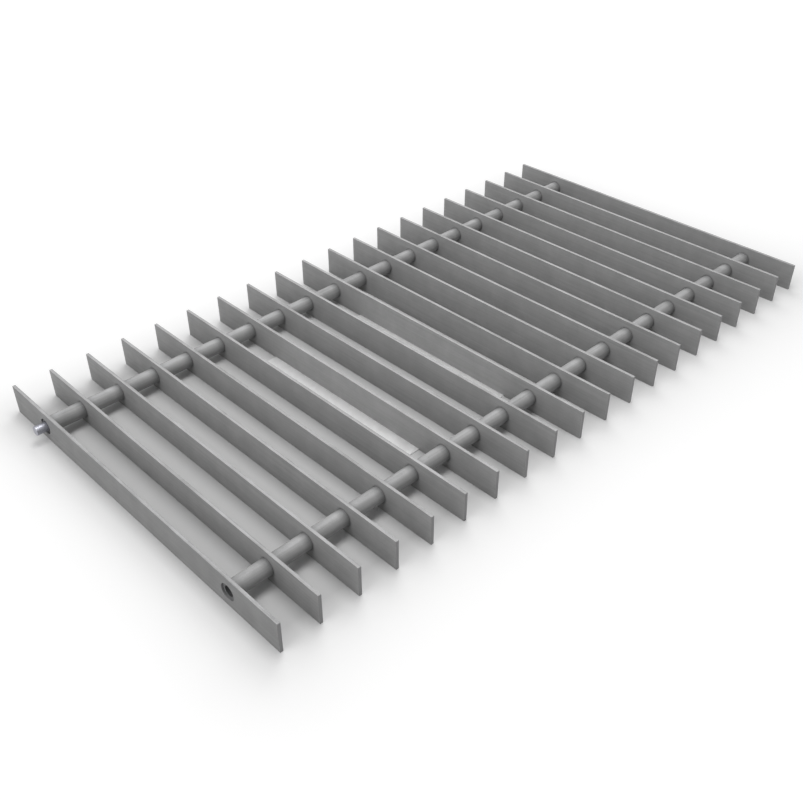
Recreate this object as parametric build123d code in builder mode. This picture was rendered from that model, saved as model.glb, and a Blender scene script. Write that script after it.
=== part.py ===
"""Hopper grate: a row of flat bars on edge, threaded on two tubes, with a hinge rod through one of them.

X runs along the tubes, Y along the bars, Z up. The origin is on the floor under the middle of the grate.
The front of the grate is at -Y, the hinge side at +Y. All sizes are in millimetres.
"""

import os

from build123d import *

# Flat bars, hot rolled, standing on edge and sawn square
BAR_COUNT = 20
BAR_LENGTH = 650.0
BAR_HEIGHT = 50.0
BAR_THICKNESS = 5.0
ROLLED_EDGE = 0.6

# Spacing from middle to middle: the outermost bar on each side stands a little closer
BAR_PITCH = 63.9
END_PITCH = 61.5

# Tubes, pushed through a hole in every bar and set back into the outermost bars
TUBE_WALL = 4.5
HOLE_CLEARANCE = 0.5
TUBE_SETBACK = 2.5
FRONT_TUBE_FROM_END = 100.0
HINGE_TUBE_FROM_END = 94.5

# Hinge rod, bright round bar through one tube, turned down to a journal where it sticks out
ROD_DIAMETER = 15.5
ROD_CLEARANCE = 0.25
JOURNAL_STEP = 0.25
JOURNAL_LENGTH = 17.0
JOURNAL_CHAMFER = 0.5

# Thin strips that close two of the gaps, flush with the underside of the bars
STRIP_LENGTH = 340.0
STRIP_THICKNESS = 2.0
STRIP_FROM_FRONT_TUBE = 50.0
STRIP_GAPS = (6, 9)

# Sizes worked out from those above
inner_span = (BAR_COUNT - 3) * BAR_PITCH
row_span = inner_span + 2 * END_PITCH
grate_width = row_span + BAR_THICKNESS
tube_length = grate_width - 2 * TUBE_SETBACK
tube_bore = ROD_DIAMETER + 2 * ROD_CLEARANCE
tube_outer = tube_bore + 2 * TUBE_WALL
hole_diameter = tube_outer + 2 * HOLE_CLEARANCE
journal_diameter = ROD_DIAMETER - 2 * JOURNAL_STEP
axis_height = BAR_HEIGHT / 2
front_tube_y = -BAR_LENGTH / 2 + FRONT_TUBE_FROM_END
hinge_tube_y = BAR_LENGTH / 2 - HINGE_TUBE_FROM_END
bar_middles = [
    -row_span / 2,
    *(-inner_span / 2 + step * BAR_PITCH for step in range(BAR_COUNT - 2)),
    row_span / 2,
]


def build_bar(middle_x):
    """One flat bar on edge, pierced for both tubes, with its middle plane at middle_x."""
    with BuildPart() as bar:
        with BuildSketch(Plane.YZ.offset(middle_x)):
            with Locations((0, axis_height)):
                Rectangle(BAR_LENGTH, BAR_HEIGHT)
            with Locations((front_tube_y, axis_height), (hinge_tube_y, axis_height)):
                Circle(hole_diameter / 2, mode=Mode.SUBTRACT)
        extrude(amount=BAR_THICKNESS / 2, both=True)
        fillet(bar.edges().filter_by(Axis.Y), ROLLED_EDGE)
    return bar


def build_tube(axis_y):
    """One round tube across the whole row, ending inside the holes of the outermost bars."""
    with BuildPart() as tube:
        with BuildSketch(Plane.YZ):
            with Locations((axis_y, axis_height)):
                Circle(tube_outer / 2)
                Circle(tube_bore / 2, mode=Mode.SUBTRACT)
        extrude(amount=tube_length / 2, both=True)
    return tube


def build_rod():
    """The hinge rod: right through the hinge tube, with a chamfered journal beyond each outermost bar."""
    with BuildPart() as rod:
        with BuildSketch(Plane.YZ):
            with Locations((hinge_tube_y, axis_height)):
                Circle(ROD_DIAMETER / 2)
        extrude(amount=grate_width / 2, both=True)
        with BuildSketch(Plane.YZ):
            with Locations((hinge_tube_y, axis_height)):
                Circle(journal_diameter / 2)
        extrude(amount=grate_width / 2 + JOURNAL_LENGTH, both=True)
        ends = rod.faces().sort_by(Axis.X)
        chamfer(ends[0].edges() + ends[-1].edges(), JOURNAL_CHAMFER)
    return rod


def build_strip(gap):
    """One closing strip in the gap after the bar of that number, from face to face."""
    left = bar_middles[gap - 1] + BAR_THICKNESS / 2
    right = bar_middles[gap] - BAR_THICKNESS / 2
    middle_y = front_tube_y + STRIP_FROM_FRONT_TUBE + STRIP_LENGTH / 2
    with BuildPart() as strip:
        with BuildSketch(Plane.XY):
            with Locations(((left + right) / 2, middle_y)):
                Rectangle(right - left, STRIP_LENGTH)
        extrude(amount=STRIP_THICKNESS)
    return strip


def save(piece, name):
    """Labels a finished piece and writes it under its own name."""
    piece.part.label = name
    export_step(piece.part, f"parts/{name}.step")


os.makedirs("parts", exist_ok=True)

for number, middle_x in enumerate(bar_middles, start=1):
    save(build_bar(middle_x), f"bar_{number:02d}")

save(build_tube(front_tube_y), "front_tube")
save(build_tube(hinge_tube_y), "hinge_tube")
save(build_rod(), "hinge_rod")

for number, gap in enumerate(STRIP_GAPS, start=1):
    save(build_strip(gap), f"bottom_strip_{number}")
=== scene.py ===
"""Looks of the hopper grate: a finish for each steel piece, a pale studio and the photo's camera.

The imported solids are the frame, and they keep their shapes. X runs along the tubes, Y along the
bars and Z up, in metres unless a name ends in _mm. The origin is on the floor under the middle of
the grate.
"""

import logging
import math
from dataclasses import dataclass, replace
from enum import Enum
from typing import Any

import bpy
import numpy as np
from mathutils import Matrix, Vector


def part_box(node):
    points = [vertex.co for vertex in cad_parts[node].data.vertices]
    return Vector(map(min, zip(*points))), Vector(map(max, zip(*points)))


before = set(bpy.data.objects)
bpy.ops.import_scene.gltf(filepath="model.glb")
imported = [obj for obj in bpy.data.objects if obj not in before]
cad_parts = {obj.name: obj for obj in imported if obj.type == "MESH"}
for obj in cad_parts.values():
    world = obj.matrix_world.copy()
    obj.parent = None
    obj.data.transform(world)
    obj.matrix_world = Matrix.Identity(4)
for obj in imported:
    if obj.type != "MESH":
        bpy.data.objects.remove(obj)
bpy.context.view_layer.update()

logging.basicConfig(level=logging.INFO, format="%(message)s")
log = logging.getLogger("hopper_grate")

Place = tuple[float, float, float]
Tree = bpy.types.NodeTree
Socket = bpy.types.NodeSocket

MM = 0.001
WHITE = "#ffffff"

# A Mix node has sockets for several types of data: these are the ones for colours.
SHARE, FIRST_COLOUR, SECOND_COLOUR, BLENDED = 0, 6, 7, 2

# The bands of a Wave node turn by this many radians in a metre, at a scale of 1.
WAVE_TURN = 20.0


def linear(code: str) -> tuple[float, float, float, float]:
    """Turns an sRGB hex colour into the linear colour that a shader takes.

    Args:
        code: six hex digits after a hash sign.

    Returns:
        Red, green, blue and alpha, each from 0 to 1.
    """
    levels = np.array([int(code[start : start + 2], 16) for start in (1, 3, 5)]) / 255
    # These four come from the sRGB standard.
    toe, slope, offset, power = 0.04045, 12.92, 0.055, 2.4
    values = np.where(levels <= toe, levels / slope, ((levels + offset) / (1 + offset)) ** power)
    return (*values.tolist(), 1.0)


def fill(tree: Tree, node: bpy.types.Node, inputs: dict[str | int, Any]) -> None:
    """Gives a node its inputs.

    Args:
        tree: the tree of a material or of the world.
        node: a node of that tree.
        inputs: what each input gets, by its name or number: a plain value, or a socket to link.
    """
    for key, value in inputs.items():
        if isinstance(value, Socket):
            tree.links.new(value, node.inputs[key])
        else:
            node.inputs[key].default_value = value


def add_node(
    tree: Tree, kind: str, inputs: dict[str | int, Any] | None = None, **settings: Any
) -> bpy.types.Node:
    """Adds one node, sets its properties and gives it its inputs.

    Args:
        tree: the tree of a material or of the world.
        kind: the node's type.
        inputs: what each input gets, as in fill.
        settings: properties of the node itself.

    Returns:
        The new node.
    """
    node = tree.nodes.new(kind)
    for name, value in settings.items():
        setattr(node, name, value)
    fill(tree, node, inputs or {})
    return node


def new_material(name: str) -> tuple[bpy.types.Material, Tree, bpy.types.Node]:
    """Starts a material.

    Args:
        name: the material's name.

    Returns:
        The material, its tree of nodes and its shader.
    """
    made = bpy.data.materials.new(name)
    made.use_nodes = True
    return made, made.node_tree, made.node_tree.nodes["Principled BSDF"]


@dataclass(frozen=True)
class MiddleLine:
    """A straight line along X, the middle of a tube or rod."""

    y: float
    z: float

    @classmethod
    def of(cls, node: str) -> "MiddleLine":
        """Finds the line through the middle of a node.

        Args:
            node: the name of a node of the frame.

        Returns:
            The node's middle line.
        """
        low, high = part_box(node)
        return cls(float(low[1] + high[1]) / 2, float(low[2] + high[2]) / 2)

    def distance(self, tree: Tree, place: Socket) -> Socket:
        """Measures how far a place lies from the line.

        Args:
            tree: the tree of a material.
            place: the place on the surface.

        Returns:
            A socket with the distance in metres.
        """
        offset = add_node(
            tree,
            "ShaderNodeVectorMath",
            {0: place, 1: (0.0, self.y, self.z)},
            operation="SUBTRACT",
        )
        across = add_node(
            tree,
            "ShaderNodeVectorMath",
            {0: offset.outputs[0], 1: (0.0, 1.0, 1.0)},
            operation="MULTIPLY",
        )
        length = add_node(tree, "ShaderNodeVectorMath", {0: across.outputs[0]}, operation="LENGTH")
        return length.outputs["Value"]


@dataclass(frozen=True)
class BarRow:
    """Where the bars stand along X: an even row, and an outermost bar closer to it on each side."""

    pitch: float
    outermost: float
    half_thickness: float

    @classmethod
    def of(cls, outermost: str, inner: str, following: str) -> "BarRow":
        """Measures the row of bars.

        Args:
            outermost: the name of the outermost bar of one side.
            inner: the name of a bar of the even row.
            following: the name of the bar after that one.

        Returns:
            The row, which is the same on both sides of the origin and has a gap there.
        """
        middles = [
            float(sum(side[0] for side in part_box(name))) / 2
            for name in (outermost, inner, following)
        ]
        low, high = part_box(outermost)
        return cls(middles[2] - middles[1], abs(middles[0]), float(high[0] - low[0]) / 2)

    def distance(self, tree: Tree, place: Socket) -> Socket:
        """Measures how far a place lies beside the nearest bar.

        Args:
            tree: the tree of a material.
            place: the place on the surface.

        Returns:
            A socket with the distance to the bar's face in metres, below 0 inside the bar.
        """
        along = add_node(tree, "ShaderNodeSeparateXYZ", {0: place}).outputs["X"]
        half = self.pitch / 2
        from_gap = add_node(tree, "ShaderNodeMath", {0: along, 1: half}, operation="PINGPONG")
        from_even = add_node(
            tree, "ShaderNodeMath", {0: half, 1: from_gap.outputs[0]}, operation="SUBTRACT"
        )
        outward = add_node(tree, "ShaderNodeMath", {0: along}, operation="ABSOLUTE")
        past = add_node(
            tree, "ShaderNodeMath", {0: outward.outputs[0], 1: self.outermost}, operation="SUBTRACT"
        )
        from_outer = add_node(tree, "ShaderNodeMath", {0: past.outputs[0]}, operation="ABSOLUTE")
        nearest = add_node(
            tree,
            "ShaderNodeMath",
            {0: from_even.outputs[0], 1: from_outer.outputs[0]},
            operation="MINIMUM",
        )
        from_face = add_node(
            tree,
            "ShaderNodeMath",
            {0: nearest.outputs[0], 1: self.half_thickness},
            operation="SUBTRACT",
        )
        return from_face.outputs[0]


@dataclass(frozen=True)
class Fade:
    """How painted shade thins out: from its full share at one distance to nothing at another."""

    share: float
    full_mm: float
    shade_gone_mm: float

    def at(self, tree: Tree, distance: Socket) -> Socket:
        """Finds the painted shade's share at a distance.

        Args:
            tree: the tree of a material.
            distance: how far the place lies from where the painted shade sits, in metres.

        Returns:
            A socket with the share.
        """
        thinned = add_node(
            tree,
            "ShaderNodeMapRange",
            {
                "Value": distance,
                "From Min": self.full_mm * MM,
                "From Max": self.shade_gone_mm * MM,
                "To Min": self.share,
                "To Max": 0.0,
            },
        )
        return thinned.outputs[0]


class Grain(Enum):
    """The axis along which a piece was rolled or drawn, by its number."""

    ALONG_X = 0
    ALONG_Y = 1


@dataclass(frozen=True)
class MattZinc:
    """Hot-dip galvanised steel that has gone matt in the weather.

    The zinc has turned to a dry, even grey without reflections. Close up it has soft cloudy
    patches, a fine crystalline grit and faint lines along the way that the steel was rolled or
    drawn. Rolled edges are scuffed paler, and upper sides carry a painted highlight. Sawn ends show
    the saw's lines, and on a tube they are painted dark as shade. Painted shade lies in the corners
    between tubes and bars, on both, and inside a long bore.
    """

    name: str
    grain: Grain
    pale: str = "#aeaeae"
    deep: str = "#9e9e9e"
    # Edges scuffed paler, and a painted highlight on upper sides.
    scuffed_and_lit: str = "#bcbcbd"
    # Sawn ends; on a tube these tones are set dark as painted shade.
    cut_and_shade: str = "#a6a6a7"
    cut_pale_and_shade: str = "#ababac"
    # Painted shade where tubes and bars meet, on both.
    corner_shade: str = "#5e5e5f"
    # Painted shade inside a bore.
    bore_shade: str = "#5a5a5b"
    roughness: tuple[float, float] = (0.55, 0.68)
    metallic: float = 0.1

    patch_mm: float = 30.0
    patch_detail: float = 3.0
    patch_fineness: float = 0.55
    line_mm: float = 3.0
    line_length_mm: float = 180.0
    line_detail: float = 2.0
    line_fineness: float = 0.6
    grit_mm: float = 1.4
    grit_detail: float = 1.0
    grit_share: float = 0.5
    tone_range: tuple[float, float] = (0.9, 1.6)
    relief_strength: float = 0.25
    relief_mm: float = 0.1

    edge_range: tuple[float, float] = (0.1, 0.45)
    edge_rub: float = 0.8
    # Painted highlight on surfaces that face up.
    top_highlight_range: tuple[float, float] = (0.8, 1.0)
    top_highlight: float = 1.0

    end_facing: float = 0.95
    saw_mm: float = 1.5
    saw_wander: float = 1.5
    saw_detail: float = 2.0

    # The painted shade rings each bar's face round the tubes, and stops short of the outer faces.
    shade_round: tuple[MiddleLine, ...] = ()
    round_fade: Fade = Fade(share=0.42, full_mm=13.0, shade_gone_mm=16.0)
    unshaded_past_mm: float = 606.0
    # Painted shade on a tube beside each bar.
    shade_beside: BarRow | None = None
    beside_fade: Fade = Fade(share=0.48, full_mm=1.5, shade_gone_mm=14.0)
    bore: MiddleLine | None = None
    bore_mm: float = 9.0

    def material(self) -> bpy.types.Material:
        """Builds the material.

        Returns:
            A material whose tone, roughness and relief come from one sum of noises.
        """
        made, tree, shader = new_material(self.name)
        texture = add_node(tree, "ShaderNodeTexCoord")
        place = texture.outputs["Object"]
        facing = add_node(tree, "ShaderNodeSeparateXYZ", {0: texture.outputs["Normal"]})

        mottle = self.mottle(tree, place)
        least, most = self.tone_range
        tone = add_node(
            tree, "ShaderNodeMapRange", {"Value": mottle, "From Min": least, "From Max": most}
        ).outputs[0]
        colour = self.coat(tree, facing, tone)
        colour = self.beside(tree, place, colour)
        colour = self.ends(tree, place, facing, colour)
        colour = self.corners(tree, place, colour)
        colour = self.inside(tree, place, colour)

        low, high = self.roughness
        dull = add_node(tree, "ShaderNodeMapRange", {"Value": tone, "To Min": high, "To Max": low})
        relief = add_node(
            tree,
            "ShaderNodeBump",
            {"Height": mottle, "Strength": self.relief_strength, "Distance": self.relief_mm * MM},
        )
        surface = {
            "Base Color": colour,
            "Metallic": self.metallic,
            "Roughness": dull.outputs[0],
            "Normal": relief.outputs[0],
        }
        fill(tree, shader, surface)
        return made

    def mottle(self, tree: Tree, place: Socket) -> Socket:
        """Sums three noises: cloudy patches, lines along the grain and grit.

        Args:
            tree: the tree of the material.
            place: the place on the surface.

        Returns:
            A socket with the sum, which is 1.25 on average and mostly within 0.3 of that.
        """
        patches = add_node(
            tree,
            "ShaderNodeTexNoise",
            {
                "Vector": place,
                "Scale": 1 / (self.patch_mm * MM),
                "Detail": self.patch_detail,
                "Roughness": self.patch_fineness,
            },
        )
        # Rolling lines are finer than half a millimetre: they are drawn coarser, so that they show.
        stretch = [1 / (self.line_mm * MM)] * 3
        stretch[self.grain.value] = 1 / (self.line_length_mm * MM)
        combed = add_node(
            tree, "ShaderNodeVectorMath", {0: place, 1: stretch}, operation="MULTIPLY"
        )
        lines = add_node(
            tree,
            "ShaderNodeTexNoise",
            {
                "Vector": combed.outputs[0],
                "Scale": 1.0,
                "Detail": self.line_detail,
                "Roughness": self.line_fineness,
            },
        )
        grit = add_node(
            tree,
            "ShaderNodeTexNoise",
            {"Vector": place, "Scale": 1 / (self.grit_mm * MM), "Detail": self.grit_detail},
        )
        clouded = add_node(
            tree, "ShaderNodeMath", {0: patches.outputs[0], 1: lines.outputs[0]}, operation="ADD"
        )
        total = add_node(
            tree,
            "ShaderNodeMath",
            {0: grit.outputs[0], 1: self.grit_share, 2: clouded.outputs[0]},
            operation="MULTIPLY_ADD",
        )
        return total.outputs[0]

    def coat(self, tree: Tree, facing: bpy.types.Node, tone: Socket) -> Socket:
        """Colours the coat, scuffs it paler on rolled edges, and paints a highlight on upper sides.

        Args:
            tree: the tree of the material.
            facing: the node with the parts of the surface's direction along X, Y and Z.
            tone: how pale the coat is, from 0 to 1.

        Returns:
            The colour of the coat.
        """
        plain = add_node(
            tree,
            "ShaderNodeMix",
            {SHARE: tone, FIRST_COLOUR: linear(self.deep), SECOND_COLOUR: linear(self.pale)},
            data_type="RGBA",
        )
        # Only the rolled edges of a bar face two ways at once, up or down and sideways.
        corner = add_node(
            tree,
            "ShaderNodeMath",
            {0: facing.outputs["X"], 1: facing.outputs["Z"]},
            operation="MULTIPLY",
        )
        rounded = add_node(tree, "ShaderNodeMath", {0: corner.outputs[0]}, operation="ABSOLUTE")
        edge_low, edge_high = self.edge_range
        edge = add_node(
            tree,
            "ShaderNodeMapRange",
            {
                "Value": rounded.outputs[0],
                "From Min": edge_low,
                "From Max": edge_high,
                "To Max": self.edge_rub,
            },
        )
        # Painted highlight: surfaces facing up are painted paler, where light from above falls on
        # them.
        top_low, top_high = self.top_highlight_range
        top = add_node(
            tree,
            "ShaderNodeMapRange",
            {
                "Value": facing.outputs["Z"],
                "From Min": top_low,
                "From Max": top_high,
                "To Max": self.top_highlight,
            },
        )
        # Edge scuffs and the painted highlight on upper sides share one paler colour.
        scuff_and_highlight = add_node(
            tree, "ShaderNodeMath", {0: edge.outputs[0], 1: top.outputs[0]}, operation="MAXIMUM"
        )
        uneven = add_node(
            tree, "ShaderNodeMath", {0: scuff_and_highlight.outputs[0], 1: tone}, operation="MULTIPLY"
        )
        scuffed_and_lit_colour = add_node(
            tree,
            "ShaderNodeMix",
            {
                SHARE: uneven.outputs[0],
                FIRST_COLOUR: plain.outputs[BLENDED],
                SECOND_COLOUR: linear(self.scuffed_and_lit),
            },
            data_type="RGBA",
        )
        return scuffed_and_lit_colour.outputs[BLENDED]

    def beside(self, tree: Tree, place: Socket, colour: Socket) -> Socket:
        """Paints shade on a tube beside every bar, darkest at the bar's face.

        Args:
            tree: the tree of the material.
            place: the place on the surface.
            colour: the colour so far.

        Returns:
            The colour with the painted shade.
        """
        if self.shade_beside is None:
            return colour
        # Painted shade: the tube is darker close to each bar's face.
        share = self.beside_fade.at(tree, self.shade_beside.distance(tree, place))
        shaded_colour = add_node(
            tree,
            "ShaderNodeMix",
            {SHARE: share, FIRST_COLOUR: colour, SECOND_COLOUR: linear(self.corner_shade)},
            data_type="RGBA",
        )
        return shaded_colour.outputs[BLENDED]

    def ends(self, tree: Tree, place: Socket, facing: bpy.types.Node, colour: Socket) -> Socket:
        """Colours sawn ends, with the fine level lines that the saw leaves. On a tube their dark
        tones are painted shade of the ends set back in the outer bars.

        Args:
            tree: the tree of the material.
            place: the place on the surface.
            facing: the node with the parts of the surface's direction along X, Y and Z.
            colour: the colour so far.

        Returns:
            The colour with the sawn-end tones on surfaces that face along the grain.
        """
        endways = add_node(
            tree, "ShaderNodeMath", {0: facing.outputs[self.grain.value]}, operation="ABSOLUTE"
        )
        sawn = add_node(
            tree,
            "ShaderNodeMath",
            {0: endways.outputs[0], 1: self.end_facing},
            operation="GREATER_THAN",
        )
        teeth = add_node(
            tree,
            "ShaderNodeTexWave",
            {
                "Vector": place,
                "Scale": math.tau / (WAVE_TURN * self.saw_mm * MM),
                "Distortion": self.saw_wander,
                "Detail": self.saw_detail,
            },
            bands_direction="Z",
        )
        lined = add_node(
            tree,
            "ShaderNodeMix",
            {
                SHARE: teeth.outputs["Fac"],
                FIRST_COLOUR: linear(self.cut_and_shade),
                SECOND_COLOUR: linear(self.cut_pale_and_shade),
            },
            data_type="RGBA",
        )
        # On a tube the sawn-end tones are painted shade.
        ended = add_node(
            tree,
            "ShaderNodeMix",
            {
                SHARE: sawn.outputs[0],
                FIRST_COLOUR: colour,
                SECOND_COLOUR: lined.outputs[BLENDED],
            },
            data_type="RGBA",
        )
        return ended.outputs[BLENDED]

    def corners(self, tree: Tree, place: Socket, colour: Socket) -> Socket:
        """Paints shade on a bar round both tubes, where they meet, but not on the two outer faces
        of the grate.

        Args:
            tree: the tree of the material.
            place: the place on the surface.
            colour: the colour so far.

        Returns:
            The colour with the painted shade.
        """
        if not self.shade_round:
            return colour
        side = add_node(tree, "ShaderNodeSeparateXYZ", {0: place})
        outward = add_node(tree, "ShaderNodeMath", {0: side.outputs["X"]}, operation="ABSOLUTE")
        inner = add_node(
            tree,
            "ShaderNodeMath",
            {0: outward.outputs[0], 1: self.unshaded_past_mm * MM},
            operation="LESS_THAN",
        )
        for line in self.shade_round:
            # Painted shade: a ring on the bar's face round the tube, where they meet.
            ring = self.round_fade.at(tree, line.distance(tree, place))
            share = add_node(
                tree, "ShaderNodeMath", {0: ring, 1: inner.outputs[0]}, operation="MULTIPLY"
            )
            colour = add_node(
                tree,
                "ShaderNodeMix",
                {
                    SHARE: share.outputs[0],
                    FIRST_COLOUR: colour,
                    SECOND_COLOUR: linear(self.corner_shade),
                },
                data_type="RGBA",
            ).outputs[BLENDED]
        return colour

    def inside(self, tree: Tree, place: Socket, colour: Socket) -> Socket:
        """Paints the bore of a tube dark, as shade deep inside it.

        Args:
            tree: the tree of the material.
            place: the place on the surface.
            colour: the colour so far.

        Returns:
            The colour with the painted shade in the bore.
        """
        if self.bore is None:
            return colour
        # Painted shade: everything in the bore takes the dark tone.
        deep = add_node(
            tree,
            "ShaderNodeMath",
            {0: self.bore.distance(tree, place), 1: self.bore_mm * MM},
            operation="LESS_THAN",
        )
        darkened = add_node(
            tree,
            "ShaderNodeMix",
            {
                SHARE: deep.outputs[0],
                FIRST_COLOUR: colour,
                SECOND_COLOUR: linear(self.bore_shade),
            },
            data_type="RGBA",
        )
        return darkened.outputs[BLENDED]


@dataclass(frozen=True)
class FreshZincSheet:
    """Thin sheet with a fresh zinc coat: very pale, with a half-bright sheen and faint crystals."""

    name: str = "fresh_zinc_sheet"
    pale: str = "#fafafa"
    deep: str = "#f5f5f5"
    roughness: tuple[float, float] = (0.5, 0.62)
    metallic: float = 0.4
    crystal_mm: float = 9.0

    def material(self) -> bpy.types.Material:
        """Builds the material.

        Returns:
            A material with the zinc's crystals as cells, each with its own tone and roughness.
        """
        made, tree, shader = new_material(self.name)
        place = add_node(tree, "ShaderNodeTexCoord").outputs["Object"]
        crystals = add_node(
            tree, "ShaderNodeTexVoronoi", {"Vector": place, "Scale": 1 / (self.crystal_mm * MM)}
        )
        shade = add_node(tree, "ShaderNodeSeparateXYZ", {0: crystals.outputs["Color"]})
        colour = add_node(
            tree,
            "ShaderNodeMix",
            {
                SHARE: shade.outputs[0],
                FIRST_COLOUR: linear(self.deep),
                SECOND_COLOUR: linear(self.pale),
            },
            data_type="RGBA",
        )
        low, high = self.roughness
        dull = add_node(
            tree, "ShaderNodeMapRange", {"Value": shade.outputs[1], "To Min": low, "To Max": high}
        )
        surface = {
            "Base Color": colour.outputs[BLENDED],
            "Metallic": self.metallic,
            "Roughness": dull.outputs[0],
        }
        fill(tree, shader, surface)
        return made


@dataclass(frozen=True)
class TurnedSteel:
    """Bright drawn steel bar, turned on a lathe: silvery, slightly blue, with rings round it."""

    name: str = "turned_steel"
    pale: str = "#aeafb7"
    deep: str = "#96979f"
    roughness: tuple[float, float] = (0.42, 0.5)
    metallic: float = 1.0
    ring_mm: float = 0.8
    ring_length_mm: float = 30.0
    ring_detail: float = 2.0
    tone_range: tuple[float, float] = (0.3, 0.7)
    relief_strength: float = 0.2
    relief_mm: float = 0.05

    def material(self) -> bpy.types.Material:
        """Builds the material.

        Returns:
            A metal with rings across X in its tone, roughness and relief.
        """
        made, tree, shader = new_material(self.name)
        place = add_node(tree, "ShaderNodeTexCoord").outputs["Object"]
        # The lathe's feed leaves rings about 0.2 mm apart: they are drawn four times as wide.
        around = 1 / (self.ring_length_mm * MM)
        stretch = (1 / (self.ring_mm * MM), around, around)
        turned = add_node(
            tree, "ShaderNodeVectorMath", {0: place, 1: stretch}, operation="MULTIPLY"
        )
        rings = add_node(
            tree,
            "ShaderNodeTexNoise",
            {"Vector": turned.outputs[0], "Scale": 1.0, "Detail": self.ring_detail},
        ).outputs[0]
        least, most = self.tone_range
        tone = add_node(
            tree, "ShaderNodeMapRange", {"Value": rings, "From Min": least, "From Max": most}
        ).outputs[0]
        colour = add_node(
            tree,
            "ShaderNodeMix",
            {SHARE: tone, FIRST_COLOUR: linear(self.deep), SECOND_COLOUR: linear(self.pale)},
            data_type="RGBA",
        )
        low, high = self.roughness
        dull = add_node(tree, "ShaderNodeMapRange", {"Value": tone, "To Min": high, "To Max": low})
        relief = add_node(
            tree,
            "ShaderNodeBump",
            {"Height": rings, "Strength": self.relief_strength, "Distance": self.relief_mm * MM},
        )
        surface = {
            "Base Color": colour.outputs[BLENDED],
            "Metallic": self.metallic,
            "Roughness": dull.outputs[0],
            "Normal": relief.outputs[0],
        }
        fill(tree, shader, surface)
        return made


Finish = MattZinc | FreshZincSheet | TurnedSteel


@dataclass(frozen=True)
class SteelPieces:
    """Pieces of the frame that share one finish."""

    what: str
    nodes: tuple[str, ...]
    finish: Finish

    def dress(self) -> None:
        """Gives every piece the finish, in all its material slots."""
        material = self.finish.material()
        for name in self.nodes:
            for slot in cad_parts[name].material_slots:
                slot.material = material
            low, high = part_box(name)
            size = " x ".join(f"{side / MM:.1f}" for side in high - low)
            log.info("%s %s: %s mm, %s", self.what, name, size, self.finish.name)


@dataclass(frozen=True)
class Softbox:
    """One square studio lamp that looks at the middle of the grate."""

    name: str
    place: Place
    side: float
    glow: float

    def build(self) -> None:
        """Hangs the lamp. Power grows with its area, so glow alone sets how bright it looks."""
        lamp = bpy.data.lights.new(self.name, "AREA")
        lamp.shape = "SQUARE"
        lamp.size = self.side
        lamp.energy = self.glow * math.pi * self.side**2
        hung = bpy.data.objects.new(self.name, lamp)
        hung.location = self.place
        hung.rotation_euler = (-Vector(self.place)).to_track_quat("-Z", "Y").to_euler()
        bpy.context.scene.collection.objects.link(hung)
        log.info("lamp %s at %s", self.name, self.place)


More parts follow.
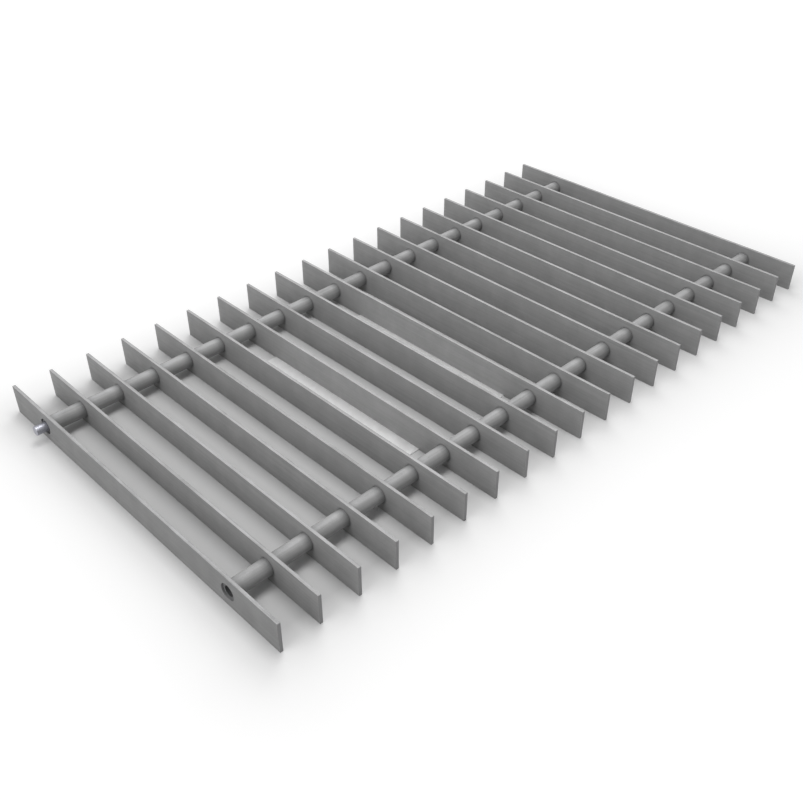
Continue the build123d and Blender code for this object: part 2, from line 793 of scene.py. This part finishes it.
@dataclass(frozen=True)
class Studio:
    """A floor of white paper, softboxes round it and a faint even sky.

    The paper glows to plain white away from the grate, and the glow fades out close to it, which
    paints a soft shadow round the grate. Only the camera, mirrored surfaces and glass see that glow
    and the white world: the light on the grate comes from the lamps and the sky.
    """

    floor_inner: float = 0.5
    floor_outer: float = 9.0
    floor_rings: int = 12
    floor_corners: int = 96
    floor_white: str = "#e3e3e3"
    floor_bounce: str = "#b7b7b7"
    # The paper's glow, which fades out round the grate as a painted shadow.
    glow_outside_shadow: float = 0.36
    painted_shadow_fade_mm: float = 60.0
    painted_shadow_half_mm: tuple[float, float] = (597.0, 298.0)
    far_glow: float = 0.2
    sky_glow: float = 0.22
    lamps: tuple[Softbox, ...] = (
        Softbox("overhead", (0.0, 0.0, 2.5), side=1.0, glow=6.7),
        Softbox("behind", (1.33, 1.33, 2.3), side=1.6, glow=2.7),
        Softbox("left_high", (-1.9, 0.0, 2.3), side=1.6, glow=1.5),
        Softbox("left_far", (-5.0, 0.0, 2.2), side=3.0, glow=2.2),
    )

    def floor(self) -> None:
        """Lays the floor: a flat disc of rings round the origin, each wider than the last."""
        radii = np.geomspace(self.floor_inner, self.floor_outer, self.floor_rings)
        turns = np.linspace(0, math.tau, self.floor_corners, endpoint=False)
        r, t = np.meshgrid(radii, turns, indexing="ij")
        rim = np.stack([r * np.cos(t), r * np.sin(t), np.zeros_like(r)], axis=-1).reshape(-1, 3)
        index = np.arange(rim.shape[0]).reshape(r.shape)
        turned = np.roll(index, -1, axis=1)
        quads = np.stack([index[:-1], index[1:], turned[1:], turned[:-1]], axis=-1).reshape(-1, 4)
        mesh = bpy.data.meshes.new("paper_floor")
        mesh.from_pydata(rim.tolist(), [], [*quads.tolist(), index[0].tolist()])
        mesh.materials.append(self.paper())
        laid = bpy.data.objects.new("paper_floor", mesh)
        bpy.context.scene.collection.objects.link(laid)

    def seen(self, tree: Tree) -> Socket:
        """Tells the rays that carry a picture from those that carry light.

        Args:
            tree: the tree that needs to know.

        Returns:
            A socket with 1 for what the camera sees directly, in a reflection or through glass,
            and 0 for the rest.
        """
        ray = add_node(tree, "ShaderNodeLightPath")
        mirrored = add_node(
            tree,
            "ShaderNodeMath",
            {0: ray.outputs["Is Camera Ray"], 1: ray.outputs["Is Glossy Ray"]},
            operation="ADD",
        )
        both = add_node(
            tree,
            "ShaderNodeMath",
            {0: mirrored.outputs[0], 1: ray.outputs["Is Transmission Ray"]},
            operation="ADD",
            use_clamp=True,
        )
        return both.outputs[0]

    def paper(self) -> bpy.types.Material:
        """Builds the floor's material.

        The paper's glow is glow_outside_shadow x (1 - e^(-d / painted_shadow_fade_mm)), where d is
        how far a place lies outside a rectangle with the half sides of painted_shadow_half_mm, so
        it paints a soft shadow round the grate. It grows by far_glow for each metre of d.

        Returns:
            Matt paper, white to the eye and in reflections, which throws less light back up.
        """
        made, tree, shader = new_material("studio_paper")
        seen = self.seen(tree)
        colour = add_node(
            tree,
            "ShaderNodeMix",
            {
                SHARE: seen,
                FIRST_COLOUR: linear(self.floor_bounce),
                SECOND_COLOUR: linear(self.floor_white),
            },
            data_type="RGBA",
        )
        place = add_node(tree, "ShaderNodeTexCoord").outputs["Object"]
        quarter = add_node(tree, "ShaderNodeVectorMath", {0: place}, operation="ABSOLUTE")
        half = [side * MM for side in self.painted_shadow_half_mm]
        past = add_node(
            tree,
            "ShaderNodeVectorMath",
            {0: quarter.outputs[0], 1: (*half, 0.0)},
            operation="SUBTRACT",
        )
        outside = add_node(
            tree,
            "ShaderNodeVectorMath",
            {0: past.outputs[0], 1: (0.0, 0.0, 0.0)},
            operation="MAXIMUM",
        )
        away = add_node(
            tree, "ShaderNodeVectorMath", {0: outside.outputs[0]}, operation="LENGTH"
        ).outputs["Value"]
        # Painted shadow: the glow falls off towards the grate.
        faded = add_node(
            tree,
            "ShaderNodeMath",
            {0: away, 1: -1 / (self.painted_shadow_fade_mm * MM)},
            operation="MULTIPLY",
        )
        falling = add_node(tree, "ShaderNodeMath", {0: faded.outputs[0]}, operation="EXPONENT")
        glow = add_node(
            tree,
            "ShaderNodeMapRange",
            {"Value": falling.outputs[0], "To Min": self.glow_outside_shadow, "To Max": 0.0},
        )
        farther = add_node(
            tree,
            "ShaderNodeMath",
            {0: away, 1: self.far_glow, 2: glow.outputs[0]},
            operation="MULTIPLY_ADD",
        )
        strength = add_node(
            tree, "ShaderNodeMath", {0: farther.outputs[0], 1: seen}, operation="MULTIPLY"
        )
        surface = {
            "Base Color": colour.outputs[BLENDED],
            "Roughness": 1.0,
            "Specular IOR Level": 0.0,
            "Emission Color": linear(WHITE),
            "Emission Strength": strength.outputs[0],
        }
        fill(tree, shader, surface)
        return made

    def sky(self) -> None:
        """Fills the world with faint even light, which looks plain white to the camera."""
        world = bpy.data.worlds.new("studio")
        world.use_nodes = True
        tree = world.node_tree
        glow = add_node(
            tree,
            "ShaderNodeMapRange",
            {"Value": self.seen(tree), "To Min": self.sky_glow, "To Max": 1.0},
        )
        fill(tree, tree.nodes["Background"], {"Color": linear(WHITE), "Strength": glow.outputs[0]})
        bpy.context.scene.world = world

    def build(self) -> None:
        """Builds the floor, the sky and the lamps."""
        self.floor()
        self.sky()
        for lamp in self.lamps:
            lamp.build()


@dataclass(frozen=True)
class PhotoCamera:
    """The camera of the photograph, solved from the edges of the bars."""

    place: Place = (-1.01535, -0.94882, 0.91684)
    down_degrees: float = 36.724
    heading_degrees: float = 45.774
    lens_mm: float = 43.289
    sensor_mm: float = 36.0
    far_clip: float = 50.0

    def build(self) -> None:
        """Places the camera. Its heading is counted from +X towards +Y, and down is below level."""
        lens = bpy.data.cameras.new("photo_camera")
        lens.lens = self.lens_mm
        lens.sensor_width = self.sensor_mm
        lens.clip_end = self.far_clip
        camera = bpy.data.objects.new("photo_camera", lens)
        camera.location = self.place
        camera.rotation_euler = (
            math.radians(90 - self.down_degrees),
            0.0,
            math.radians(self.heading_degrees - 90),
        )
        bpy.context.scene.collection.objects.link(camera)
        bpy.context.scene.camera = camera
        log.info("camera %s", self.place)


@dataclass(frozen=True)
class HopperGrate:
    """The whole grate, as groups of pieces with their finishes."""

    bar_count: int = 20

    def groups(self) -> tuple[SteelPieces, ...]:
        """Sorts the frame's pieces into groups.

        Returns:
            The groups, with every piece of the frame in one of them.
        """
        bars = tuple(f"bar_{number:02d}" for number in range(1, self.bar_count + 1))
        front, hinge = MiddleLine.of("front_tube"), MiddleLine.of("hinge_tube")
        bar_finish = MattZinc("matt_zinc_flat_bar", Grain.ALONG_Y, shade_round=(front, hinge))
        # Painted shade: the first bar, which stands outermost, gets a darker copy of the bars'
        # coat.
        first_bar_shaded = replace(
            bar_finish, name="matt_zinc_first_bar_shaded", pale="#9c9c9c", deep="#8e8e8e"
        )
        # The tubes' sawn ends sit set back in the outer bars: their dark tones are painted shade.
        tube_finish = MattZinc(
            "matt_zinc_front_tube",
            Grain.ALONG_X,
            cut_and_shade="#6c6c6d",
            cut_pale_and_shade="#747475",
            shade_beside=BarRow.of(*bars[:3]),
            bore=front,
        )
        # Painted shade: the hinge tube gets a darker copy of the front tube's coat.
        hinge_tube_shaded = replace(
            tube_finish, name="matt_zinc_hinge_tube_shaded", pale="#a9a9a9", deep="#999999", bore=hinge
        )
        return (
            SteelPieces("flat bar", bars[:1], first_bar_shaded),
            SteelPieces("flat bar", bars[1:], bar_finish),
            SteelPieces("tube", ("front_tube",), tube_finish),
            SteelPieces("tube", ("hinge_tube",), hinge_tube_shaded),
            SteelPieces("strip", ("bottom_strip_1", "bottom_strip_2"), FreshZincSheet()),
            SteelPieces("rod", ("hinge_rod",), TurnedSteel()),
        )

    def build(self) -> None:
        """Dresses every group."""
        for group in self.groups():
            group.dress()


def main() -> None:
    """Builds the camera, the grate's finishes and the studio, in that order."""
    bpy.context.scene.view_settings.view_transform = "Standard"
    PhotoCamera().build()
    HopperGrate().build()
    Studio().build()


if __name__ == "__main__":
    main()
